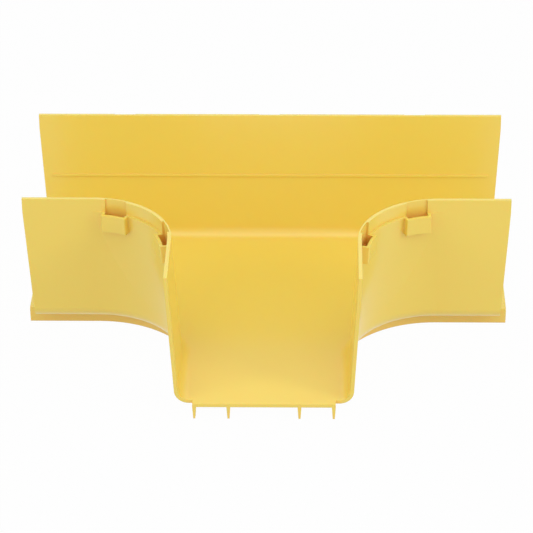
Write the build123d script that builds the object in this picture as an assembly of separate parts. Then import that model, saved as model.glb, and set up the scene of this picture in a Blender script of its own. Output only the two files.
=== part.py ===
"""One-piece moulded horizontal tee for fibre raceway.

An open trough of U section runs left to right. Its back wall is straight and whole.
Its front wall turns through two quarter arcs into the side walls of an outlet that comes
straight forward at the same floor level. All three ends carry a flat tongue, four fins
run under the floor, and pockets outside the walls take the hooks of a lid.
"""

from build123d import *
from math import degrees, radians, sqrt, tan
import os

# Trough: sizes over the walls are taken at their top edge
run_length = 415.0
trough_width = 160.5
outlet_reach = 132.5
wall_height = 122.5
wall = 3.1
wall_lean = 3.0
corner_radius = 67.0
foot_radius = 12.0

# Open ends: plumb at the top, then sloping back to the floor
end_land = 13.0
end_slope = 2.8

# Tongue: the flat of the floor carried on past each end
tongue_width = 118.7
tongue_reach = 6.3
tongue_corner = 0.8

# Fins under the floor
fin_depth = 11.2
fin_root = 3.2
fin_tip = 1.7
inner_fin_offset = 29.4

# Swell of each front corner: below a ledge its wall stands proud on a wider arc,
# and lower down it is lost in the plain wall
ledge_drop = 12.2
swell_radius = 73.0
swell_foot = 20.0
swell_sink = 0.1

# Lid hook pockets
pocket_width = 18.7
pocket_height = 16.0
pocket_proud = 7.2
pocket_wall = 2.7
pocket_edge = 1.3
pocket_setback = 19.9
corner_notch = 1.8
back_notch = 0.8
back_pocket_spacing = 130.0

# Stiffening line moulded inside the back wall
ridge_height = 2.2
ridge_proud = 0.8
ridge_level = 63.5
ridge_end_gap = 10.0

# How far cutters run past the surfaces that they cut
overrun = 20.0

# Places that follow from the sizes above
half_width = trough_width / 2
corner_centre = half_width + corner_radius
run_end = run_length / 2
outlet_end = half_width + outlet_reach
land_foot = wall_height - end_land
end_setback = land_foot * tan(radians(end_slope))
outer_fin_offset = (tongue_width - fin_root) / 2
ledge_level = wall_height - ledge_drop
swell_centre = half_width + swell_radius
pocket_foot = ledge_level - pocket_height
pocket_radius = corner_radius - pocket_proud
pocket_middle = degrees(pocket_setback / corner_radius)
open_ends = ((0, run_end), (180, run_end), (-90, outlet_end))


def tee_plan(inset):
    """Plan of the tee at the top of its walls, drawn in by inset, with overlong arms."""
    side = half_width - inset
    arm_x = run_end + overrun
    arm_y = outlet_end + overrun
    with BuildSketch(Plane.XY.offset(wall_height)) as plan:
        with BuildLine():
            Polyline(
                (-corner_centre, -side), (-arm_x, -side), (-arm_x, side),
                (arm_x, side), (arm_x, -side), (corner_centre, -side),
            )
            TangentArc((corner_centre, -side), (side, -corner_centre), tangent=(-1, 0))
            Polyline(
                (side, -corner_centre), (side, -arm_y), (-side, -arm_y), (-side, -corner_centre)
            )
            TangentArc((-side, -corner_centre), (-corner_centre, -side), tangent=(0, 1))
        make_face()
    return plan.sketch


def tee_mass(inset, floor_level=0.0):
    """Solid under that plan, down to floor_level, with its sides drawn in by the lean."""
    return extrude(tee_plan(inset), amount=floor_level - wall_height, taper=wall_lean)


def rounded_foot(mass, radius):
    """The mass with the long edges round its floor rounded; the overlong ends stay sharp."""
    floor_face = mass.faces().sort_by(Axis.Z)[0]
    long_edges = [
        edge for edge in floor_face.edges()
        if abs(edge.center().X) < run_end and edge.center().Y > -outlet_end
    ]
    return fillet(long_edges, radius)


def end_cut(reach):
    """What lies beyond an open end: plumb over the land, then sloping back to the floor."""
    outline = [
        (reach, wall_height + overrun),
        (reach, land_foot),
        (reach - end_setback, 0),
        (reach - end_setback, -overrun),
        (reach + 2 * overrun, -overrun),
        (reach + 2 * overrun, wall_height + overrun),
    ]
    with BuildSketch(Plane.XZ) as side_view:
        with BuildLine():
            Polyline(*outline, close=True)
        make_face()
    return extrude(side_view.sketch, amount=trough_width, both=True)


def tongue(reach):
    """Floor plate from inside the trough to past the foot of the end, corners eased."""
    root = reach - end_setback - overrun
    tip = reach - end_setback + tongue_reach
    plate = Pos((root + tip) / 2, 0, wall / 2) * Box(tip - root, tongue_width, wall)
    tip_edges = plate.edges().filter_by(Axis.Z).sort_by(Axis.X)[-2:]
    return fillet(tip_edges, tongue_corner)


def fin(path):
    """Tapered fin swept under the floor along a level path, its root sunk in the floor."""
    start = Plane(origin=path @ 0, x_dir=Vector(0, 0, 1).cross(path % 0), z_dir=path % 0)
    outline = [
        (-fin_root / 2, wall / 2), (-fin_root / 2, 0), (-fin_tip / 2, -fin_depth),
        (fin_tip / 2, -fin_depth), (fin_root / 2, 0), (fin_root / 2, wall / 2),
    ]
    with BuildSketch(start) as section:
        with BuildLine():
            Polyline(*outline, close=True)
        make_face()
    return sweep(section.sketch, path=path)


def straight_fin(offset):
    """Fin under the back half of the run, from tongue tip to tongue tip."""
    tip = run_end - end_setback + tongue_reach
    return fin(Edge.make_line((-tip, offset, 0), (tip, offset, 0)))


def turning_fin(offset):
    """Fin under the front half of the run that turns with the corner into the outlet."""
    run_tip = run_end - end_setback + tongue_reach
    outlet_tip = outlet_end - end_setback + tongue_reach
    with BuildLine() as path:
        Line((run_tip, -offset), (corner_centre, -offset))
        TangentArc((corner_centre, -offset), (offset, -corner_centre), tangent=(-1, 0))
        Line((offset, -corner_centre), (offset, -outlet_tip))
    return fin(path.wire())


def drawn_in(level):
    """How far the lean has drawn the walls in at a level, from their top edge."""
    return (wall_height - level) * tan(radians(wall_lean))


def leaning_outline(near, far, low, high, inward):
    """Upright section whose two sides lean with the walls; inward is 1 or -1."""
    top = inward * drawn_in(high)
    foot = inward * drawn_in(low)
    return [(near + top, high), (far + top, high), (far + foot, low), (near + foot, low)]


def corner_turn(outline, centre, start, stop):
    """Outline of radius and level turned about the right front corner; 0 is the run side."""
    with BuildSketch(Plane.XZ) as section:
        with BuildLine():
            Polyline(*outline, close=True)
        make_face()
    ring = revolve(section.sketch, axis=Axis.Z, revolution_arc=stop - start)
    return Pos(centre, -centre, 0) * Rot(Z=90 + start) * ring


def corner_swell():
    """Mass added to the tee at a front corner, its top the ledge, its foot inside the wall."""
    top = swell_radius + drawn_in(ledge_level) + swell_sink
    foot = corner_radius + drawn_in(swell_foot) + swell_sink
    foot += sqrt(2) * (swell_centre - corner_centre)
    far = foot + overrun
    outline = [(top, ledge_level), (far, ledge_level), (far, swell_foot), (foot, swell_foot)]
    return corner_turn(outline, swell_centre, 0, 90)


def corner_pocket_body(middle):
    """Outside of a pocket that follows the corner's curve, its upright edges rounded."""
    half_angle = degrees((pocket_width / 2 + pocket_wall) / corner_radius)
    outline = leaning_outline(
        pocket_radius, corner_radius + wall / 2, pocket_foot, ledge_level, 1
    )
    body = corner_turn(outline, corner_centre, middle - half_angle, middle + half_angle)
    centre = Vector(corner_centre, -corner_centre, (pocket_foot + ledge_level) / 2)
    upright_edges = body.edges().group_by(Axis.Z)[1]
    return fillet(upright_edges.sort_by_distance(centre)[:2], pocket_edge)


def corner_pocket_hollow(middle):
    """Room for a hook: a notch in the wall's top that goes on down inside the pocket."""
    half_angle = degrees(pocket_width / 2 / corner_radius)
    outline = leaning_outline(
        pocket_radius + pocket_wall, corner_radius + overrun,
        pocket_foot + pocket_wall, wall_height + overrun, 1,
    )
    room = corner_turn(outline, corner_centre, middle - half_angle, middle + half_angle)
    return room - tee_mass(corner_notch)


def back_bar(outline, middle, width):
    """Outline of depth and level drawn out to a width along the back wall."""
    with BuildSketch(Plane.YZ) as section:
        with BuildLine():
            Polyline(*outline, close=True)
        make_face()
    return Pos(middle, 0, 0) * extrude(section.sketch, amount=width / 2, both=True)


def back_pocket_body(middle):
    """Outside of a straight pocket on the back wall, its upright edges rounded."""
    outline = leaning_outline(
        half_width - wall / 2, half_width + pocket_proud, pocket_foot, ledge_level, -1
    )
    body = back_bar(outline, middle, pocket_width + 2 * pocket_wall)
    upright_edges = body.edges().group_by(Axis.Z)[1]
    return fillet(upright_edges.sort_by(Axis.Y)[-2:], pocket_edge)


def back_pocket_hollow(middle):
    """Room for a hook behind the back wall, with its shallow notch above."""
    far = half_width + pocket_proud - pocket_wall
    outline = leaning_outline(
        far - overrun, far, pocket_foot + pocket_wall, wall_height + overrun, -1
    )
    return back_bar(outline, middle, pocket_width) - tee_mass(back_notch)


def ridge():
    """Thin line along the inside of the back wall, lying on the leaning face."""
    face = half_width - wall - drawn_in(ridge_level)
    bar = Box(run_length - 2 * ridge_end_gap, 2 * ridge_proud, ridge_height)
    return Pos(0, face, ridge_level) * Rot(X=-wall_lean) * bar


def trough():
    """The U-section shell of run and outlet, trimmed at its three open ends."""
    swell = corner_swell()
    outside = rounded_foot(tee_mass(0), foot_radius) + [swell, mirror(swell, about=Plane.YZ)]
    inside = rounded_foot(tee_mass(wall, wall), foot_radius - wall)
    shell = outside - inside
    for turn, reach in open_ends:
        shell -= Rot(Z=turn) * end_cut(reach)
    return shell


def raceway_tee():
    """The whole moulding."""
    pocket_angles = (pocket_middle, 90 - pocket_middle)
    back_places = (-back_pocket_spacing, 0, back_pocket_spacing)
    tee = trough() + ridge()
    for turn, reach in open_ends:
        tee += Rot(Z=turn) * tongue(reach)
    for offset in (inner_fin_offset, outer_fin_offset):
        right_turn = turning_fin(offset)
        tee += [straight_fin(offset), right_turn, mirror(right_turn, about=Plane.YZ)]
    for middle in pocket_angles:
        body = corner_pocket_body(middle)
        tee += [body, mirror(body, about=Plane.YZ)]
    for middle in back_places:
        tee += back_pocket_body(middle)
    for middle in pocket_angles:
        hollow = corner_pocket_hollow(middle)
        tee -= [hollow, mirror(hollow, about=Plane.YZ)]
    for middle in back_places:
        tee -= back_pocket_hollow(middle)
    return tee


def stood_on_fins(tee):
    """The moulding with its fin tips on the ground and its bounding box centred over 0, 0."""
    box = tee.bounding_box()
    return Pos(0, -box.center().Y, fin_depth) * tee


os.makedirs("parts", exist_ok=True)
export_step(stood_on_fins(raceway_tee()), "parts/raceway_tee.step")
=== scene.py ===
from math import cos, radians, sin

import bmesh
import bpy
from mathutils import Matrix, Vector


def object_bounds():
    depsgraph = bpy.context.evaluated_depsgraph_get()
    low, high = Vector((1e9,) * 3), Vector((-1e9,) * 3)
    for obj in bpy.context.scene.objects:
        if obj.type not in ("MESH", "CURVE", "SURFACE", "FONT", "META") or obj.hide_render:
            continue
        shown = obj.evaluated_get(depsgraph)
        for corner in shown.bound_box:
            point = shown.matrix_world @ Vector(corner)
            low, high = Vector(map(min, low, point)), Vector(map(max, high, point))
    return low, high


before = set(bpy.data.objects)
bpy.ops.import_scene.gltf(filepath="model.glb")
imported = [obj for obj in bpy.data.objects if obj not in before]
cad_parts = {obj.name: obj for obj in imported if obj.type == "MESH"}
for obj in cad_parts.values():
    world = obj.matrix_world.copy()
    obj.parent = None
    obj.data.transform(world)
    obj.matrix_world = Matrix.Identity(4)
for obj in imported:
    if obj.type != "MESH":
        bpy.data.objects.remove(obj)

cad_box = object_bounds()

# The tee: one injection moulding in opaque yellow plastic, a trough with an outlet.
# Light soaks a little way in. Its hollows are painted redder as shade, and its top rims are painted
# paler as a highlight.
# Its skin is lightly polished, finely grained and faintly wavy, and its edges are broken.

# Yellows of the open faces, the painted shade in the hollows and the painted highlight on the top
# rims, and where the last two begin
plastic_yellow = (0.862, 0.662, 0.116, 1)
plastic_flow_yellow = (0.847, 0.645, 0.104, 1)
painted_shade_yellow = (0.930, 0.575, 0.120, 1)
painted_rim_highlight_yellow = (0.845, 0.680, 0.135, 1)
painted_shade_reach = 0.015
painted_shade_samples = 8
rim_highlight_band = 0.0132
rim_highlight_facing_up = 0.8

# Streaks where the plastic flowed, longest along the run, and the waves, grain and edges
flow_streaks_per_metre = 9
flow_streak_tightness = (0.45, 1.0, 1.6)
flow_streak_detail = 4
waves_per_metre = 28
wave_detail = 2
wave_height = 0.00008
grain_per_metre = 1900
grain_detail = 3
grain_height = 0.000006
noise_middle = 0.5
broken_edge = 0.0006
edge_samples = 6

# Gloss, and how deep each colour of light soaks in
plastic_roughness = 0.30
plastic_roughness_spread = 0.06
plastic_ior = 1.5
polish = 0.28
polish_roughness = 0.14
light_soaked_in = 0.25
soak_depth = 0.003
soak_by_colour = (1.0, 0.35, 0.10)


class Wire:
    """A socket of a node tree. Arithmetic and comparison with it add Math nodes."""

    def __init__(self, tree, socket=None):
        self.tree = tree
        self.socket = socket

    def node(self, kind, sockets=(), out=0, **settings):
        """A new node of any kind: its settings are set first, then its sockets."""
        made = self.tree.nodes.new(kind)
        for name, value in settings.items():
            setattr(made, name, value)
        for name, value in dict(sockets).items():
            if isinstance(value, Wire):
                self.tree.links.new(value.socket, made.inputs[name])
            else:
                made.inputs[name].default_value = value
        return Wire(self.tree, made.outputs[out] if made.outputs else None)

    def math(self, operation, first, second):
        return self.node("ShaderNodeMath", {0: first, 1: second}, operation=operation)

    def __add__(self, other):
        return self.math("ADD", self, other)

    def __sub__(self, other):
        return self.math("SUBTRACT", self, other)

    def __rsub__(self, other):
        return self.math("SUBTRACT", other, self)

    def __mul__(self, other):
        return self.math("MULTIPLY", self, other)

    def __gt__(self, other):
        return self.math("GREATER_THAN", self, other)

    def __lt__(self, other):
        return self.math("LESS_THAN", self, other)

    __radd__ = __add__
    __rmul__ = __mul__

    def upward(self):
        """The upward part of this vector."""
        return self.node("ShaderNodeSeparateXYZ", {"Vector": self}, out="Z")

    def noise(self, per_metre, detail):
        """Noise from 0 to 1 over these coordinates."""
        return self.node(
            "ShaderNodeTexNoise", {"Vector": self, "Scale": per_metre, "Detail": detail}
        )

    def mixed(self, first, second):
        """The first colour where this wire is 0, the second where it is 1."""
        return self.node(
            "ShaderNodeMix", {"Factor": self, "A": first, "B": second},
            out="Result", data_type="RGBA",
        )


def bare_tree(owner):
    """The emptied node tree of a material or world, as a wire to build from."""
    owner.use_nodes = True
    owner.node_tree.nodes.clear()
    return Wire(owner.node_tree)


def yellow_plastic():
    """Plastic with faint flow streaks, painted redder shade in its hollows and a painted paler
    highlight on its top rims.
    """
    material = bpy.data.materials.new("yellow_plastic")
    start = bare_tree(material)
    place = start.node("ShaderNodeTexCoord", out="Object")
    facing = start.node("ShaderNodeTexCoord", out="Normal")
    stretched = start.node("ShaderNodeMapping", {"Vector": place, "Scale": flow_streak_tightness})
    streaks = stretched.noise(flow_streaks_per_metre, flow_streak_detail)
    waves = place.noise(waves_per_metre, wave_detail)
    grain = place.noise(grain_per_metre, grain_detail)
    openness = start.node(
        "ShaderNodeAmbientOcclusion", {"Distance": painted_shade_reach}, out="AO", samples=painted_shade_samples
    )
    # Painted highlight: upward faces near the top of the tee are marked here and turn paler below.
    rim_highlight_above = cad_box[1].z - rim_highlight_band
    on_rim_highlight = (place.upward() > rim_highlight_above) * (facing.upward() > rim_highlight_facing_up)
    colour = streaks.mixed(plastic_yellow, plastic_flow_yellow)
    # Painted shade: where ambient occlusion finds a hollow, the colour turns redder.
    colour = openness.mixed(painted_shade_yellow, colour)
    colour = on_rim_highlight.mixed(colour, painted_rim_highlight_yellow)
    roughness = plastic_roughness + plastic_roughness_spread * (waves - noise_middle)
    edges = start.node("ShaderNodeBevel", {"Radius": broken_edge}, samples=edge_samples)
    wavy = start.node("ShaderNodeBump", {"Height": waves, "Distance": wave_height, "Normal": edges})
    skin = start.node("ShaderNodeBump", {"Height": grain, "Distance": grain_height, "Normal": wavy})
    surface = start.node(
        "ShaderNodeBsdfPrincipled",
        {
            "Base Color": colour,
            "Roughness": roughness,
            "Normal": skin,
            "IOR": plastic_ior,
            "Coat Weight": polish,
            "Coat Roughness": polish_roughness,
            "Subsurface Weight": light_soaked_in,
            "Subsurface Scale": soak_depth,
            "Subsurface Radius": soak_by_colour,
        },
    )
    start.node("ShaderNodeOutputMaterial", {"Surface": surface})
    return material


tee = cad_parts["raceway_tee"]
tee.data.materials.clear()
tee.data.materials.append(yellow_plastic())

# The floor: a wide sheet of white paper, flat under the tee and swept up into a backdrop.
# It glows nearly white to the camera, with a faint shadow of the tee left on it, and
# throws a weaker, even light back onto the tee.

sweep_near = -4.0
sweep_far = 3.0
sweep_width = 9.0
sweep_rise = 3.5
sweep_bend = 1.2
bend_steps = 16
white = (1, 1, 1, 1)
paper_grey = (0.50, 0.50, 0.50, 1)
fibres_per_metre = 260
fibre_detail = 2
fibre_height = 0.00003
paper_glow_to_eye = 0.98
paper_glow_on_tee = 0.40
seeing_rays = ("Is Camera Ray", "Is Glossy Ray", "Is Transmission Ray")


def glow_by_ray(start, to_eye, on_tee):
    """A level that is to_eye where the camera, a gloss or a glass sees it, else on_tee."""
    seen = sum(start.node("ShaderNodeLightPath", out=ray) for ray in seeing_rays)
    return on_tee + (to_eye - on_tee) * seen


def sweep_paper():
    """Dull paper with a fine relief of fibres, under a white glow."""
    material = bpy.data.materials.new("paper")
    start = bare_tree(material)
    place = start.node("ShaderNodeTexCoord", out="Object")
    fibres = place.noise(fibres_per_metre, fibre_detail)
    relief = start.node("ShaderNodeBump", {"Height": fibres, "Distance": fibre_height})
    sheet = start.node("ShaderNodeBsdfDiffuse", {"Color": paper_grey, "Normal": relief})
    glow = start.node("ShaderNodeEmission", {"Color": white})
    share = glow_by_ray(start, paper_glow_to_eye, paper_glow_on_tee)
    lit_sheet = start.node("ShaderNodeMixShader", {0: share, 1: sheet, 2: glow})
    start.node("ShaderNodeOutputMaterial", {"Surface": lit_sheet})
    return material


def far_edge(grown):
    """The one edge among the parts that an extrusion or a spin of an edge ends in."""
    return next(part for part in grown if isinstance(part, bmesh.types.BMEdge))


def drawn_straight(form, edge, move):
    """Draws the paper straight on from an edge, and gives its new far edge."""
    grown = bmesh.ops.extrude_edge_only(form, edges=[edge])["geom"]
    ends = [part for part in grown if isinstance(part, bmesh.types.BMVert)]
    bmesh.ops.translate(form, vec=move, verts=ends)
    return far_edge(grown)


def sweep_mesh():
    """One edge across the near end, drawn along the floor, round the bend and up."""
    form = bmesh.new()
    near_corners = [form.verts.new((side * sweep_width / 2, sweep_near, 0)) for side in (-1, 1)]
    near_edge = form.edges.new(near_corners)
    bend_start = sweep_far - sweep_bend
    floor_end = drawn_straight(form, near_edge, Vector((0, bend_start - sweep_near, 0)))
    bend = bmesh.ops.spin(
        form, geom=[floor_end, *floor_end.verts], cent=(0, bend_start, sweep_bend),
        axis=(1, 0, 0), angle=radians(90), steps=bend_steps,
    )
    bend_end = far_edge(bend["geom_last"])
    drawn_straight(form, bend_end, Vector((0, 0, sweep_rise - sweep_bend)))
    bmesh.ops.recalc_face_normals(form, faces=form.faces)
    for face in form.faces:
        face.smooth = True
    mesh = bpy.data.meshes.new("sweep")
    form.to_mesh(mesh)
    form.free()
    return mesh


def put_in_scene(name, data):
    """A new object that holds a mesh, a lamp or a camera."""
    holder = bpy.data.objects.new(name, data)
    bpy.context.scene.collection.objects.link(holder)
    return holder


sweep = put_in_scene("sweep", sweep_mesh())
sweep.data.materials.append(sweep_paper())

# The light: an even white room gives most of it. A softbox stands on each side of the
# camera, the right one twice as strong as the left, and a wide soft lamp hangs above
# the tee and a little in front of it.

room_glow_to_eye = 1.0
room_glow_on_tee = 0.86
box_bearing = radians(60)
box_elevation = radians(29)
box_distance = 2.2
box_size = 0.55
left_watts = 4
right_watts = 8
overhead_place = Vector((0, -0.7, 2.1))
overhead_size = 1.8
overhead_watts = 8
tee_middle = (cad_box[0] + cad_box[1]) / 2


def soft_lamp(name, place, size, watts):
    """A square lamp that faces the middle of the tee."""
    lamp = bpy.data.lights.new(name, "AREA")
    lamp.shape = "SQUARE"
    lamp.size = size
    lamp.energy = watts
    holder = put_in_scene(name, lamp)
    holder.location = place
    holder.rotation_euler = (tee_middle - place).to_track_quat("-Z", "Y").to_euler()


for name, side, watts in (("left_box", -1, left_watts), ("right_box", 1, right_watts)):
    bearing = Vector((
        side * sin(box_bearing) * cos(box_elevation),
        -cos(box_bearing) * cos(box_elevation),
        sin(box_elevation),
    ))
    soft_lamp(name, tee_middle + box_distance * bearing, box_size, watts)
soft_lamp("overhead", overhead_place, overhead_size, overhead_watts)

room = bpy.data.worlds.new("room")
bpy.context.scene.world = room
walls = bare_tree(room)
wall_level = glow_by_ray(walls, room_glow_to_eye, room_glow_on_tee)
white_walls = walls.node("ShaderNodeBackground", {"Color": white, "Strength": wall_level})
walls.node("ShaderNodeOutputWorld", {"Surface": white_walls})

# The camera: a long lens, about 30 degrees above level and 2.3 m from the tee. It stands
# in front of the outlet, barely to its right, and is tipped by half a degree.

view_pitch = radians(30.035)
view_yaw = radians(-1.3889)
view_roll = radians(0.4778)
view_distance = 2.2831
view_point = Vector((0, -0.02156, 0.0712))
photo_pixels = 533
focal_pixels = 2665.5
sensor_width = 36.0

ahead = Vector((sin(view_yaw) * cos(view_pitch), cos(view_yaw) * cos(view_pitch), -sin(view_pitch)))
level_right = Vector((cos(view_yaw), -sin(view_yaw), 0))
level_down = ahead.cross(level_right)
right = cos(view_roll) * level_right + sin(view_roll) * level_down
up = sin(view_roll) * level_right - cos(view_roll) * level_down
view = bpy.data.cameras.new("camera")
view.sensor_width = sensor_width
view.lens = focal_pixels * sensor_width / photo_pixels
camera = put_in_scene("camera", view)
turned = Matrix((right, up, -ahead)).transposed().to_4x4()
camera.matrix_world = Matrix.Translation(view_point - view_distance * ahead) @ turned
bpy.context.scene.camera = camera
bpy.context.scene.view_settings.view_transform = "Standard"
